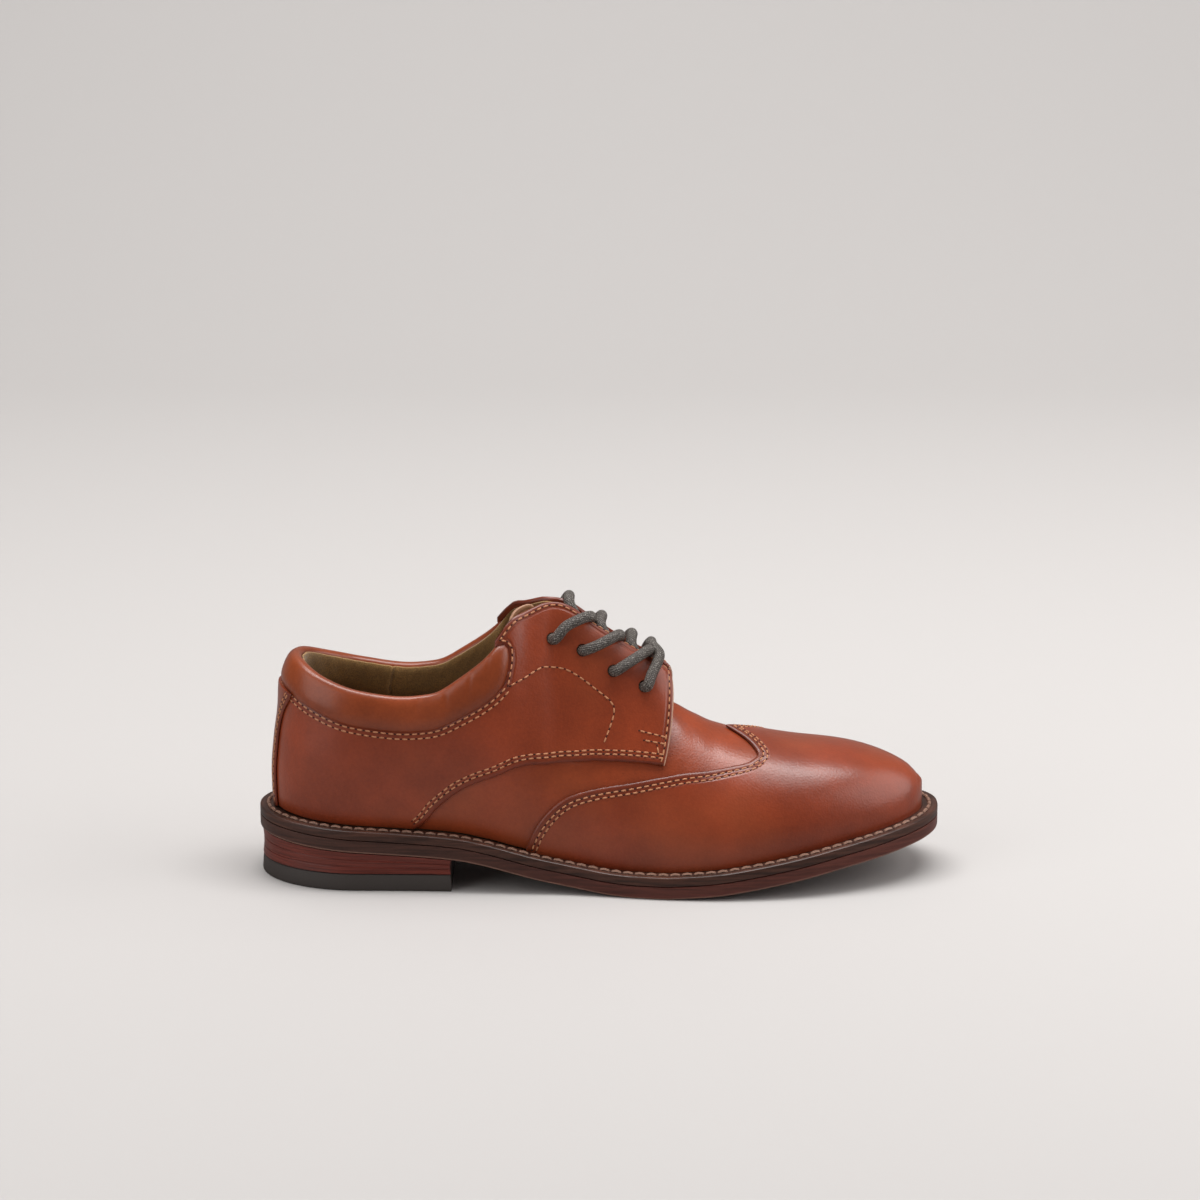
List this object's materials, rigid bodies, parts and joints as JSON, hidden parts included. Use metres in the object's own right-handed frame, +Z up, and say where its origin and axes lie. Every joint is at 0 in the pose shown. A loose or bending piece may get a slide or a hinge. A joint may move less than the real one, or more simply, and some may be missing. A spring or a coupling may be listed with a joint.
{
  "type": "brogue shoe",
  "caption": "Right leather shoe with a plain wing cap, open lacing, padded collar, stitched welt and stacked heel, standing empty on its sole.",
  "frame": {"origin": "on the floor at the centre of the top lift under the heel", "axes": "+X towards the toe, +Y towards the inner (big toe) side, +Z up"},
  "size_m": [0.25, 0.0845, 0.1042],
  "materials": {
    "tan_leather": "polished calf",
    "tan_cap_leather": "polished calf",
    "collar_leather": "soft polished calf",
    "insole_suede": "suede",
    "welt_brown": "edge dyed",
    "outsole_brown": "edge dyed",
    "stacked_leather": "stacked and dyed",
    "top_lift_rubber": "matte",
    "waxed_cord": "waxed braid"
  },
  "bodies": {
    "root": {"upper": "tan_leather", "wing_cap": "tan_cap_leather", "back_strip": "tan_cap_leather", "collar_roll": "collar_leather", "tongue": "tan_leather", "outsole": "outsole_brown", "welt": "welt_brown", "insole": "insole_suede", "heel_stack": "stacked_leather", "top_lift": "top_lift_rubber", "lace_cross_1": "waxed_cord", "lace_cross_2": "waxed_cord", "lace_cross_3": "waxed_cord", "lace_bar": "waxed_cord"}
  },
  "joints": []
}
